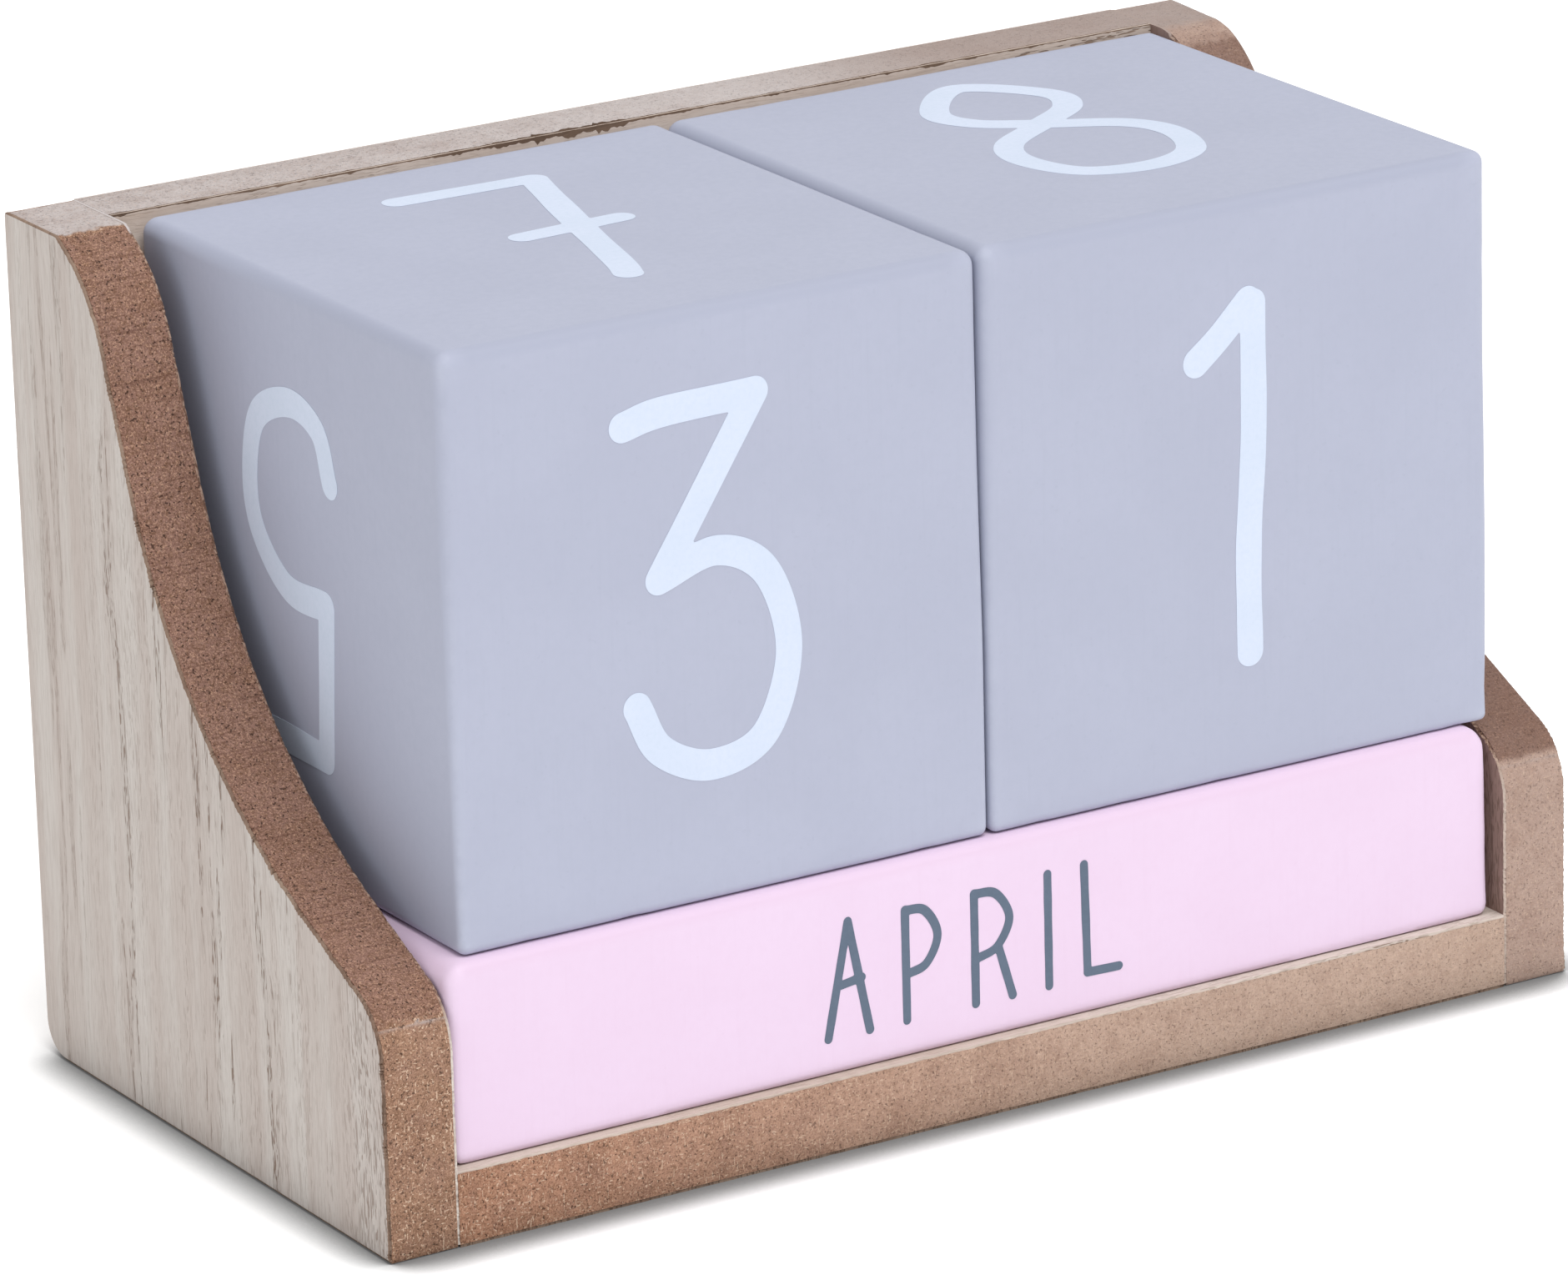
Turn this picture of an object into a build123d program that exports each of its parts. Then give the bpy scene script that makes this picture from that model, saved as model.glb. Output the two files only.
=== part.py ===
from build123d import *
import os

# Wooden perpetual block calendar: two number cubes standing on three month bars in an open holder.
# The holder faces -Y and rests on the XY plane. The origin is the middle of its footprint.

# Driving dimensions, in millimetres
outer_width = 115.5
outer_depth = 59.0
outer_height = 73.8

core_thickness = 6.0
veneer_thickness = 0.25
veneer_foot = 0.2  # the side veneers are trimmed this far above the table

cube_side = 50.0
cube_rounding = 1.5

bar_length = 101.3
bar_section = 17.0
bar_edge_rounding = 1.0
bar_end_rounding = 2.2

bar_setback = 0.9  # from the front of the base to the front bar
bar_gap = 0.2  # between one bar and the next
bar_side_play = 0.2  # between the bars and the left side board
cube_setback = 2.0  # from the front of the base to the cubes
cube_gap = 0.2  # between the two cubes
cube_side_play = 0.15  # between the ones cube and the right side board

# Side board outline: a low front lip, a hollow sweep and a rounded shoulder.
# Each depth is from the front and each height from the table, to where two straights would meet.
lip_height = 20.4
lip_rounding = 6.0
hollow_depth = 31.9
hollow_height = 35.1
hollow_rounding = 50.0
shoulder_depth = 44.2
shoulder_height = 70.3
shoulder_rounding = 13.4
crest_depth = 49.6
crest_rounding = 2.0
top_back_rounding = 0.4
bottom_back_rounding = 3.0

# Sizes that follow from those
board = core_thickness + 2 * veneer_thickness
front = -outer_depth / 2
back = outer_depth / 2
inner_half_width = outer_width / 2 - board
pocket_back = back - board

os.makedirs("parts", exist_ok=True)


def side_layer(name, left_face, thickness, foot):
    """One layer of a side board, from its left face towards +X, standing on foot."""
    outline = (
        (front, foot),
        (front, lip_height),
        (front + hollow_depth, hollow_height),
        (front + shoulder_depth, shoulder_height),
        (front + crest_depth, outer_height),
        (back, outer_height),
        (back, foot),
    )
    roundings = (
        0,
        lip_rounding,
        hollow_rounding,
        shoulder_rounding,
        crest_rounding,
        top_back_rounding,
        bottom_back_rounding,
    )
    with BuildPart() as layer:
        with BuildSketch(Plane.YZ.offset(left_face)):
            with BuildLine():
                FilletPolyline(*outline, radius=roundings, close=True)
            make_face()
        extrude(amount=thickness)
    layer.part.label = name
    export_step(layer.part, f"parts/{name}.step")


def side_board(name, left_face, left_veneer, right_veneer):
    """A side board of three layers: its core between two veneers."""
    core_face = left_face + veneer_thickness
    side_layer(f"{name}_{left_veneer}", left_face, veneer_thickness, veneer_foot)
    side_layer(f"{name}_core", core_face, core_thickness, 0)
    side_layer(f"{name}_{right_veneer}", core_face + core_thickness, veneer_thickness, veneer_foot)


side_board("left_side", -outer_width / 2, "outer_veneer", "inner_veneer")
side_board("right_side", inner_half_width, "inner_veneer", "outer_veneer")


def back_layer(name, front_face, thickness):
    """One layer of the back board, which stands between the side boards."""
    with BuildPart() as layer:
        with BuildSketch(Plane.XZ.offset(-front_face)):
            with Locations((0, outer_height / 2)):
                Rectangle(2 * inner_half_width, outer_height)
        extrude(amount=-thickness)
    layer.part.label = name
    export_step(layer.part, f"parts/{name}.step")


back_layer("back_front_veneer", pocket_back, veneer_thickness)
back_layer("back_core", pocket_back + veneer_thickness, core_thickness)
back_layer("back_rear_veneer", back - veneer_thickness, veneer_thickness)


def base_layer(name, underside, thickness):
    """One layer of the base board, which lies between the side boards, in front of the back."""
    with BuildPart() as layer:
        with BuildSketch(Plane.XY.offset(underside)):
            with Locations((0, (front + pocket_back) / 2)):
                Rectangle(2 * inner_half_width, pocket_back - front)
        extrude(amount=thickness)
    layer.part.label = name
    export_step(layer.part, f"parts/{name}.step")


base_layer("base_bottom_veneer", 0, veneer_thickness)
base_layer("base_core", veneer_thickness, core_thickness)
base_layer("base_top_veneer", board - veneer_thickness, veneer_thickness)

# Month bars, side by side on the base. Their ends are rounded more than their long edges.
bar_middle_x = bar_side_play - inner_half_width + bar_length / 2
for place, name in enumerate(("front", "middle", "rear")):
    bar_front = front + bar_setback + place * (bar_section + bar_gap)
    with BuildPart() as month_bar:
        with BuildSketch(Plane.XY.offset(board)):
            with Locations((bar_middle_x, bar_front + bar_section / 2)):
                Rectangle(bar_length, bar_section)
        extrude(amount=bar_section)
        end_faces = faces().filter_by(Axis.X)
        fillet(end_faces.edges(), bar_end_rounding)
        fillet(edges().filter_by(Axis.X), bar_edge_rounding)
    month_bar.part.label = f"month_bar_{name}"
    export_step(month_bar.part, f"parts/month_bar_{name}.step")

# Number cubes, standing on the bars. The tens cube is the left one.
ones_left = inner_half_width - cube_side_play - cube_side
tens_left = ones_left - cube_gap - cube_side
for name, cube_left in (("tens_cube", tens_left), ("ones_cube", ones_left)):
    with BuildPart() as cube:
        with BuildSketch(Plane.XY.offset(board + bar_section)):
            with Locations((cube_left + cube_side / 2, front + cube_setback + cube_side / 2)):
                Rectangle(cube_side, cube_side)
        extrude(amount=cube_side)
        fillet(cube.edges(), cube_rounding)
    cube.part.label = name
    export_step(cube.part, f"parts/{name}.step")
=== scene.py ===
import math

import bmesh
import bpy
import numpy as np
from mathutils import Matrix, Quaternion, Vector, geometry, noise


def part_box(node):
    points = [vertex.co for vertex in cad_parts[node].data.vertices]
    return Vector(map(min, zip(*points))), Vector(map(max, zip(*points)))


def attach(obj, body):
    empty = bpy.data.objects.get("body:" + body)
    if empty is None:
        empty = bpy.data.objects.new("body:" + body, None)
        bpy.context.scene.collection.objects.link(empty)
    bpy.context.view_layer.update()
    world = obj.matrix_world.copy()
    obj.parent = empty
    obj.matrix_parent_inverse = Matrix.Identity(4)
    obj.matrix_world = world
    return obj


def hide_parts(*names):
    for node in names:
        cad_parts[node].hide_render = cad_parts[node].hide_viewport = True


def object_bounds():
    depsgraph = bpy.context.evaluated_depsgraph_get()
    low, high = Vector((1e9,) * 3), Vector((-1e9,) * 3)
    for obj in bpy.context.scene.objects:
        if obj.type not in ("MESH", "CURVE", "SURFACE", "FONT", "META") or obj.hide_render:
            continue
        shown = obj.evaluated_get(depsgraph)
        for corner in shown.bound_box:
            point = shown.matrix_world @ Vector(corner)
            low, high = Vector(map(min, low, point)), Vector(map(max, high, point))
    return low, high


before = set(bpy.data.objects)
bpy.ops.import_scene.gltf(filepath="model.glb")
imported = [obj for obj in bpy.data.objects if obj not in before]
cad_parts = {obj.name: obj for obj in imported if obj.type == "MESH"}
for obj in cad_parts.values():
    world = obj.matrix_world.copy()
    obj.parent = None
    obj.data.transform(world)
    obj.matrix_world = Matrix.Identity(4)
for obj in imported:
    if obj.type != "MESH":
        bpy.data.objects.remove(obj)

# Wooden perpetual block calendar. Shapes are worked out in millimetres and made in metres.
MM = 0.001
X, Y, Z = range(3)
cad_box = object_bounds()

bpy.context.scene.view_settings.view_transform = "Standard"


def box_mm(node):
    """The lowest and highest corner of a CAD node, in millimetres."""
    low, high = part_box(node)
    return np.array(low) / MM, np.array(high) / MM


# ---------------------------------------------------------------- camera, floor and lights

camera_place = Vector((-389.7, -642.2, 281.65)) * MM
camera_aim = Vector((-1.75, 0.0, 33.4)) * MM
camera_roll = math.radians(-1.555)
camera_lens = 216.13


def add_camera():
    """The camera at the photograph's viewing angle, fitted to the object's corners."""
    data = bpy.data.cameras.new("camera")
    data.lens = camera_lens
    data.sensor_width = 36.0
    data.clip_start = 0.01
    data.clip_end = 50.0
    camera = bpy.data.objects.new("camera", data)
    level = (camera_aim - camera_place).to_track_quat("-Z", "Y")
    camera.rotation_mode = "QUATERNION"
    camera.rotation_quaternion = level @ Quaternion((0, 0, 1), camera_roll)
    camera.location = camera_place
    bpy.context.scene.collection.objects.link(camera)
    bpy.context.scene.camera = camera


def add_area_light(name, place, aim, size, power):
    """A soft square lamp; place, aim and size are in metres, power in watts."""
    data = bpy.data.lights.new(name, "AREA")
    data.size = size
    data.energy = power
    lamp = bpy.data.objects.new(name, data)
    lamp.location = place
    lamp.rotation_mode = "QUATERNION"
    lamp.rotation_quaternion = (Vector(aim) - Vector(place)).to_track_quat("-Z", "Y")
    bpy.context.scene.collection.objects.link(lamp)


def add_world(strength):
    world = bpy.data.worlds.new("studio")
    bpy.context.scene.world = world
    world.use_nodes = True
    background = world.node_tree.nodes["Background"]
    background.inputs["Color"].default_value = (1.0, 1.0, 1.0, 1.0)
    background.inputs["Strength"].default_value = strength


# ---------------------------------------------------------------- materials


def srgb(code):
    """A linear colour from a hexadecimal sRGB code."""
    channels = [int(code[i : i + 2], 16) / 255 for i in (0, 2, 4)]
    linear = [c / 12.92 if c <= 0.04045 else ((c + 0.055) / 1.055) ** 2.4 for c in channels]
    return (*linear, 1.0)


def grey(brightness):
    return (brightness, brightness, brightness, 1.0)


class Finish:
    """A procedural material under construction: short ways to add nodes and join them."""

    def __init__(self, name, roughness, specular):
        self.material = bpy.data.materials.new(name)
        self.material.use_nodes = True
        self.nodes = self.material.node_tree.nodes
        self.links = self.material.node_tree.links
        self.shader = self.nodes["Principled BSDF"]
        self.shader.inputs["Roughness"].default_value = roughness
        self.shader.inputs["Specular IOR Level"].default_value = specular
        self.place = self.nodes.new("ShaderNodeTexCoord").outputs["Object"]

    def put(self, value, socket):
        """Sets a socket to a number or colour, or joins another node's output to it."""
        if isinstance(value, bpy.types.NodeSocket):
            self.links.new(value, socket)
        else:
            socket.default_value = value

    def stretched(self, scale, place=None):
        """Coordinates multiplied by scale along each axis."""
        mapping = self.nodes.new("ShaderNodeMapping")
        self.put(place or self.place, mapping.inputs["Vector"])
        mapping.inputs["Scale"].default_value = scale
        return mapping.outputs["Vector"]

    def noise(self, size, place=None, detail=2.0, roughness=0.5):
        """Smooth noise from 0 to 1 whose lumps are about size millimetres across."""
        texture = self.nodes.new("ShaderNodeTexNoise")
        self.put(place or self.place, texture.inputs["Vector"])
        texture.inputs["Scale"].default_value = 1 / (size * MM)
        texture.inputs["Detail"].default_value = detail
        texture.inputs["Roughness"].default_value = roughness
        return texture.outputs["Fac"]

    def above(self, value, low, high):
        """0 where value is under low, 1 where it is over high, and smooth between them."""
        ranged = self.nodes.new("ShaderNodeMapRange")
        ranged.interpolation_type = "SMOOTHSTEP"
        self.put(value, ranged.inputs["Value"])
        ranged.inputs["From Min"].default_value = low
        ranged.inputs["From Max"].default_value = high
        return ranged.outputs["Result"]

    def reckon(self, kind, first, second):
        node = self.nodes.new("ShaderNodeMath")
        node.operation = kind
        self.put(first, node.inputs[0])
        self.put(second, node.inputs[1])
        return node.outputs["Value"]

    def plus(self, first, second):
        return self.reckon("ADD", first, second)

    def minus(self, first, second):
        return self.reckon("SUBTRACT", first, second)

    def times(self, first, second):
        return self.reckon("MULTIPLY", first, second)

    def larger(self, first, second):
        return self.reckon("MAXIMUM", first, second)

    def mix(self, share, first, second):
        """First colour where share is 0, second where it is 1."""
        node = self.nodes.new("ShaderNodeMix")
        node.data_type = "RGBA"
        factor, first_colour, second_colour = (node.inputs[i] for i in (0, 6, 7))
        self.put(share, factor)
        self.put(first, first_colour)
        self.put(second, second_colour)
        return node.outputs[2]

    def axis(self, index):
        """One of the coordinates, in metres."""
        node = self.nodes.new("ShaderNodeSeparateXYZ")
        self.put(self.place, node.inputs["Vector"])
        return node.outputs[index]

    def vertex_value(self, name):
        """The number that set_vertex_value gave each vertex."""
        node = self.nodes.new("ShaderNodeAttribute")
        node.attribute_name = name
        return node.outputs["Fac"]

    def finish(self, colour, height, depth, rough=None):
        """Joins the colour, a bump whose full height is depth millimetres, and any roughness."""
        bump = self.nodes.new("ShaderNodeBump")
        bump.inputs["Distance"].default_value = depth * MM
        self.put(height, bump.inputs["Height"])
        self.put(bump.outputs["Normal"], self.shader.inputs["Normal"])
        self.put(colour, self.shader.inputs["Base Color"])
        if rough is not None:
            self.put(rough, self.shader.inputs["Roughness"])
        return self.material


def veneer(name, grain, pale, dark, pore_colour):
    """Sliced open-grained wood, whose fibres follow the axis grain.

    Where they stand upright, its pores are crowded along the front edge and sparse near the back.
    """
    f = Finish(name, roughness=0.78, specular=0.3)
    pale, dark, pore_colour = srgb(pale), srgb(dark), srgb(pore_colour)

    def along(share):
        """Scales for coordinates that stretch a pattern along the fibres."""
        return tuple(share if i == grain else 1.0 for i in (X, Y, Z))

    wander = f.times(f.noise(10.0, f.stretched(along(0.4)), detail=3.0), 2.2 * MM)
    shift = f.nodes.new("ShaderNodeCombineXYZ")
    for i in (X, Y, Z):
        if i != grain:
            f.put(wander, shift.inputs[i])
    moved = f.nodes.new("ShaderNodeVectorMath")
    moved.operation = "ADD"
    f.put(f.place, moved.inputs[0])
    f.put(shift.outputs["Vector"], moved.inputs[1])
    place = moved.outputs["Vector"]

    # Slow tones, then the pores: short dashes and long ones, crowded together in the heartwood
    broad = f.noise(4.0, f.stretched(along(0.04), place), detail=3.0)
    band = f.noise(1.3, f.stretched(along(0.025), place), detail=3.0, roughness=0.6)
    fibre = f.noise(0.18, f.stretched(along(0.05), place), detail=2.0)
    streak = f.above(f.noise(3.2, f.stretched(along(0.02), place), detail=1.0), 0.54, 0.62)
    narrow = f.above(f.noise(0.9, f.stretched(along(0.03), place), detail=1.0), 0.47, 0.60)
    short = f.above(f.noise(0.17, f.stretched(along(0.14), place), detail=1.0), 0.57, 0.64)
    long = f.above(f.noise(0.2, f.stretched(along(0.05), place), detail=2.0), 0.59, 0.66)
    heart = f.times(streak, f.above(narrow, 0.3, 1.0))
    crowd = f.plus(f.times(narrow, 0.22), 0.14)
    pores = f.larger(short, long)
    dashes = f.times(pores, f.larger(heart, crowd))
    if grain == Z:
        busy = f.times(f.above(f.axis(Y), -20 * MM, -27 * MM), 0.7)
        dashes = f.larger(dashes, f.times(pores, busy))
        plain = f.times(f.above(f.axis(Y), 8 * MM, 24 * MM), 0.6)
        dashes = f.times(dashes, f.minus(1.0, plain))
    tone = f.mix(f.above(broad, 0.35, 0.68), pale, dark)
    tone = f.mix(f.times(f.above(band, 0.45, 0.75), 0.6), tone, dark)
    tone = f.mix(f.times(heart, 0.15), tone, pore_colour)
    tone = f.mix(f.times(f.above(fibre, 0.4, 0.75), 0.18), tone, pore_colour)
    tone = f.mix(f.times(dashes, 0.85), tone, pore_colour)
    relief = f.minus(f.times(fibre, 0.3), dashes)
    return f.finish(tone, relief, 0.04, f.plus(f.times(fibre, 0.12), 0.7))


def veneer_edge():
    """The cut edge of an inner veneer: cream low down, darker up the sweep, planed on the top.

    The right one is duller than the left one.
    """
    f = Finish("veneer_edge", roughness=0.8, specular=0.3)
    fibre = f.noise(0.25, f.stretched((1.0, 1.0, 0.4)), detail=2.0)
    darker_tone = f.mix(f.above(fibre, 0.42, 0.62), srgb("6b4f40"), srgb("a58a78"))
    rightward = f.above(f.axis(X), -20 * MM, 30 * MM)
    clean = f.mix(rightward, srgb("cdc4bb"), srgb("b9a79b"))
    clean = f.mix(f.times(f.above(fibre, 0.35, 0.7), 0.8), clean, srgb("a3948a"))
    height = f.axis(Z)
    colour = f.mix(f.above(height, 17.5 * MM, 21.5 * MM), clean, darker_tone)
    planed = f.mix(rightward, srgb("bdb5b3"), srgb("9f8e86"))
    colour = f.mix(f.above(height, 73.0 * MM, 73.4 * MM), colour, planed)
    return f.finish(colour, fibre, 0.03)


def fibreboard(name, pale_from, left, right):
    """Fibreboard edges, paler and smoother to the right, up to pale_from millimetres along X.

    The vertex value tone is 0 where routed, 1 where sanded and 2 on the bare top. left and right
    are the sanded colours.
    """
    f = Finish(name, roughness=0.8, specular=0.3)
    tone = f.vertex_value("tone")
    smooth = f.above(tone, 0.0, 1.0)
    bare = f.above(tone, 1.0, 2.0)
    rightward = f.above(f.axis(X), -58 * MM, pale_from * MM)
    routed = f.mix(rightward, srgb("8a685b"), srgb("785e54"))
    sanded = f.mix(rightward, srgb(left), srgb(right))
    planed = f.mix(f.above(f.axis(X), 8 * MM, 34 * MM), srgb("bdb5b3"), srgb("a0918b"))
    colour = f.mix(bare, f.mix(smooth, routed, sanded), planed)

    # How strongly flecks and pits show: less where sanded, on the bare top and to the right
    strength = f.minus(0.90, f.times(smooth, 0.16))
    strength = f.times(strength, f.minus(1.0, f.times(bare, 0.5)))
    strength = f.times(strength, f.minus(1.0, f.times(rightward, 0.62)))

    cloud = f.noise(4.5, detail=3.0)
    patch = f.noise(1.8, detail=3.0)
    lump = f.noise(0.4, detail=4.0, roughness=0.8)
    grain = f.noise(0.16, detail=2.0, roughness=0.8)
    worked = f.above(tone, -0.3, 1.0)
    rough = f.above(tone, 0.7, 0.1)
    fleck = f.above(f.noise(0.18, f.stretched((1.0, 1.0, 0.6)), detail=1.0), 0.65, 0.72)
    shred = f.above(f.noise(0.17, f.stretched((0.35, 1.0, 1.0)), detail=1.0), 0.66, 0.74)
    hair = f.above(f.noise(0.17, f.stretched((1.0, 1.0, 0.12)), detail=1.0), 0.69, 0.76)
    pit = f.above(f.noise(0.24, detail=1.0), 0.62, 0.72)
    scratch = f.above(f.noise(0.25, f.stretched((0.03, 1.0, 1.0)), detail=1.0), 0.60, 0.74)

    def shade(mask, share, to):
        """Mixes another colour in where mask is 1, as strongly as flecks show there."""
        return f.mix(f.times(f.times(mask, share), strength), colour, to)

    colour = shade(f.above(cloud, 0.42, 0.7), 0.5, srgb("75523f"))
    colour = shade(f.above(patch, 0.45, 0.7), 0.45, srgb("836358"))
    colour = shade(f.above(lump, 0.42, 0.68), 0.8, srgb("65452f"))
    colour = shade(f.above(grain, 0.5, 0.7), 0.8, srgb("53361f"))
    bits = f.larger(f.larger(fleck, shred), hair)
    colour = shade(f.above(grain, 0.5, 0.3), 0.75, srgb("c39c80"))
    colour = shade(f.times(bits, worked), 0.9, srgb("d9bea6"))
    colour = shade(pit, 0.95, srgb("301b11"))
    colour = shade(f.times(scratch, rough), 0.5, srgb("56362a"))
    relief = f.minus(f.plus(lump, f.times(grain, 0.8)), pit)
    return f.finish(colour, relief, 0.04)


def block_paint(name, colour, worn, shade, darker_tone, depth):
    """Satin paint over sanded wood.

    The vertex value wear is 0 on the faces, up to 1 where the paint is worn, with a painted
    highlight along upright edges, and down to -1 along the top arrises, where it is painted shade.
    """
    f = Finish(name, roughness=0.5, specular=0.3)
    colour, worn, shade, darker_tone = srgb(colour), srgb(worn), srgb(shade), srgb(darker_tone)
    cloud = f.noise(11.0, detail=2.0)
    peel = f.noise(0.8, detail=3.0, roughness=0.6)
    grain = f.noise(0.5, f.stretched((1.0, 1.0, 0.05)), detail=2.0)
    speck = f.above(f.noise(0.42, detail=0.0), 0.79, 0.83)
    patch = f.noise(1.6, detail=3.0, roughness=0.7)
    tone = f.mix(f.times(f.above(cloud, 0.3, 0.7), 0.35), colour, shade)
    tone = f.mix(f.times(f.above(peel, 0.35, 0.75), 0.22), tone, shade)
    tone = f.mix(f.times(f.above(grain, 0.5, 0.8), 0.25), tone, shade)
    tone = f.mix(f.times(speck, 0.4), tone, shade)
    wear_and_shade = f.vertex_value("wear_and_shade")
    # Worn paint on edges and corners, partly a painted highlight along the upright edges
    rubbed_and_highlight = f.times(f.larger(wear_and_shade, 0.0), f.above(patch, 0.25, 0.75))
    tone = f.mix(f.times(rubbed_and_highlight, 0.55), tone, worn)
    # Painted shade: the top arrises take the last colour where the vertex value is below zero
    tone = f.mix(f.above(wear_and_shade, 0.0, -1.0), tone, darker_tone)
    relief = f.plus(peel, f.times(grain, 0.5))
    rough = f.plus(f.times(peel, 0.2), 0.42)
    return f.finish(tone, relief, depth, rough)


def print_paint(name, colour, thin, roughness):
    """A thin printed film, a little uneven in thickness, over the block's own paint."""
    f = Finish(name, roughness, specular=0.4)
    colour, thin = srgb(colour), srgb(thin)
    mottle = f.noise(0.5, detail=3.0, roughness=0.7)
    broad = f.noise(6.0, detail=1.0)
    grain = f.noise(0.3, f.stretched((1.0, 1.0, 0.08)), detail=1.0)
    tone = f.mix(f.times(f.above(mottle, 0.35, 0.75), 0.5), colour, thin)
    tone = f.mix(f.times(f.above(broad, 0.4, 0.7), 0.3), tone, thin)
    relief = f.plus(mottle, f.times(grain, 0.5))
    return f.finish(tone, relief, 0.01, f.plus(f.times(mottle, 0.2), roughness - 0.1))


# A painted contact shadow: how bright the paper is, from 0 to 1, by how open to the light it is,
# from 0 to 1
painted_shadow_shades = (
    (0.0, 0.12),
    (0.376, 0.156),
    (0.50, 0.20),
    (0.55, 0.27),
    (0.60, 0.34),
    (0.66, 0.45),
    (0.75, 0.62),
    (0.82, 0.80),
    (0.92, 0.95),
    (0.97, 1.0),
)
painted_shadow_reach = 6.0 * MM  # openness counts only what is nearer than this
painted_shadow_lean = math.radians(15)  # and is measured leaning this far back from upright


def floor_paper():
    """Bright white paper, faintly mottled, with a painted contact shadow close under whatever
    stands on it.
    """
    f = Finish("floor_paper", roughness=0.9, specular=0.2)
    mottle = f.noise(30.0, detail=2.0)
    leaning = f.nodes.new("ShaderNodeCombineXYZ")
    leaning.inputs["Y"].default_value = math.sin(painted_shadow_lean)
    leaning.inputs["Z"].default_value = math.cos(painted_shadow_lean)
    openness = f.nodes.new("ShaderNodeAmbientOcclusion")
    openness.inputs["Distance"].default_value = painted_shadow_reach
    f.put(leaning.outputs["Vector"], openness.inputs["Normal"])
    # The painted contact shadow darkens the paper's glow as well as its colour where little around
    # it is open
    ramp = f.nodes.new("ShaderNodeValToRGB")
    f.put(openness.outputs["AO"], ramp.inputs["Fac"])
    stops = ramp.color_ramp.elements
    stops[0].color = grey(painted_shadow_shades[0][1])
    for open_share, shade in painted_shadow_shades[1:]:
        stops.new(open_share).color = grey(shade)
    paper = f.mix(mottle, grey(0.81), grey(0.79))
    f.put(ramp.outputs["Color"], f.shader.inputs["Emission Color"])
    f.shader.inputs["Emission Strength"].default_value = 0.42
    return f.finish(f.mix(ramp.outputs["Color"], grey(0.0), paper), mottle, 0.02)


# Colours are hexadecimal sRGB codes
side_veneer = veneer("side_veneer", Z, "c6bfb9", "bcb1aa", "735b4b")
# The inner veneer's colours are darkened as painted shade of the holder's inside
inner_veneer = veneer("inner_veneer", Z, "9c8278", "8c7369", "654f41")
board_veneer = veneer("board_veneer", X, "cec2b9", "bdaca0", "816a59")
cut_veneer = veneer_edge()
torn_edge = veneer("torn_edge", Z, "96806f", "7a6253", "4a3628")
splinters = veneer("splinters", X, "907866", "5a4638", "2c2019")
side_fibreboard = fibreboard("side_fibreboard", 35, "9b7862", "ab9387")
base_fibreboard = fibreboard("base_fibreboard", 30, "a97c63", "bba292")
# In the block paints the worn colour is partly a painted highlight, and the last colour is painted
# shade for the top arrises
cube_paint = block_paint("cube_paint", "a9adbf", "bbc0cf", "a2a6b8", "a0a4b6", depth=0.012)
bar_paint = block_paint("bar_paint", "ddc7dd", "dfccdf", "d8c0d6", "d7bfd5", depth=0.010)
numeral_paint = print_paint("numeral_paint", "c9d2e4", "bfcbdc", roughness=0.5)
lettering_ink = print_paint("lettering_ink", "536173", "5d6b7d", roughness=0.5)


# ---------------------------------------------------------------- mesh helpers

board_smoothing, block_smoothing = 30, 60  # degrees; edges sharper than this stay sharp


def make_piece(name, points, faces, body, materials, smoothing=None):
    """A mesh piece made from points in millimetres, riding on a body.

    With a smoothing, in degrees, its faces of four corners are shaded smooth and its ends flat.
    """
    mesh = bpy.data.meshes.new(name)
    mesh.from_pydata((np.asarray(points) * MM).tolist(), [], faces)
    for material in materials:
        mesh.materials.append(material)
    sorting = bmesh.new()
    sorting.from_mesh(mesh)
    bmesh.ops.recalc_face_normals(sorting, faces=sorting.faces)
    sorting.to_mesh(mesh)
    sorting.free()
    if smoothing is not None:
        mesh.set_sharp_from_angle(angle=math.radians(smoothing))
        mesh.polygons.foreach_set("use_smooth", [len(p.vertices) == 4 for p in mesh.polygons])
    piece = bpy.data.objects.new(name, mesh)
    bpy.context.scene.collection.objects.link(piece)
    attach(piece, body)
    return piece


def set_vertex_value(piece, name, values):
    """Gives each vertex a number that the material reads."""
    attribute = piece.data.attributes.new(name, "FLOAT", "POINT")
    attribute.data.foreach_set("value", np.asarray(values, np.float32).ravel())


def loft(rings):
    """Points and faces of a closed solid through rings, an array of (rings, points round, 3)."""
    count, around = rings.shape[:2]
    index = np.arange(count * around).reshape(count, around)
    near, far = index[:-1], index[1:]
    quads = np.stack([near, np.roll(near, -1, 1), np.roll(far, -1, 1), far], axis=-1)
    faces = quads.reshape(-1, 4).tolist()
    faces.append(index[0][::-1].tolist())
    faces.append(index[-1].tolist())
    return rings.reshape(-1, 3), faces


def noise_at(points, size, seed):
    """Smooth noise from -1 to 1 at points in millimetres, in lumps about size across."""
    offset = Vector((seed * 17.3, seed * 5.1, seed * 29.7))
    return np.array([noise.noise(Vector(p) / size + offset) for p in points])


def unit(vector):
    return vector / np.linalg.norm(vector)


# ---------------------------------------------------------------- side boards

holder_low, holder_high = (np.array(corner) / MM for corner in cad_box)
front, back, top = holder_low[1], holder_high[1], holder_high[2]
outer_half_width = holder_high[0]

# Where the straights of a side board's outline would meet: depths from the front and heights
lip_height = 20.4
hollow_depth, hollow_height = 31.9, 35.1
shoulder_depth, shoulder_height = 44.2, 70.3
crest_depth = 49.6
crest_rounding = {"left": 2.0, "right": 6.0}  # the right board is sanded rounder
sanded_height = 19.7  # the front edge is sanded up to here, and only routed above


def board_corners(side):
    """The corners of a side board's outline: y, z and rounding."""
    return (
        (front, 0.0, 0.2),
        (front, lip_height, 6.0),
        (front + hollow_depth, hollow_height, 50.0),
        (front + shoulder_depth, shoulder_height, 13.4),
        (front + crest_depth, top, crest_rounding[side]),
        (back, top, 0.4),
        (back, 0.0, 3.0),
    )


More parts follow.
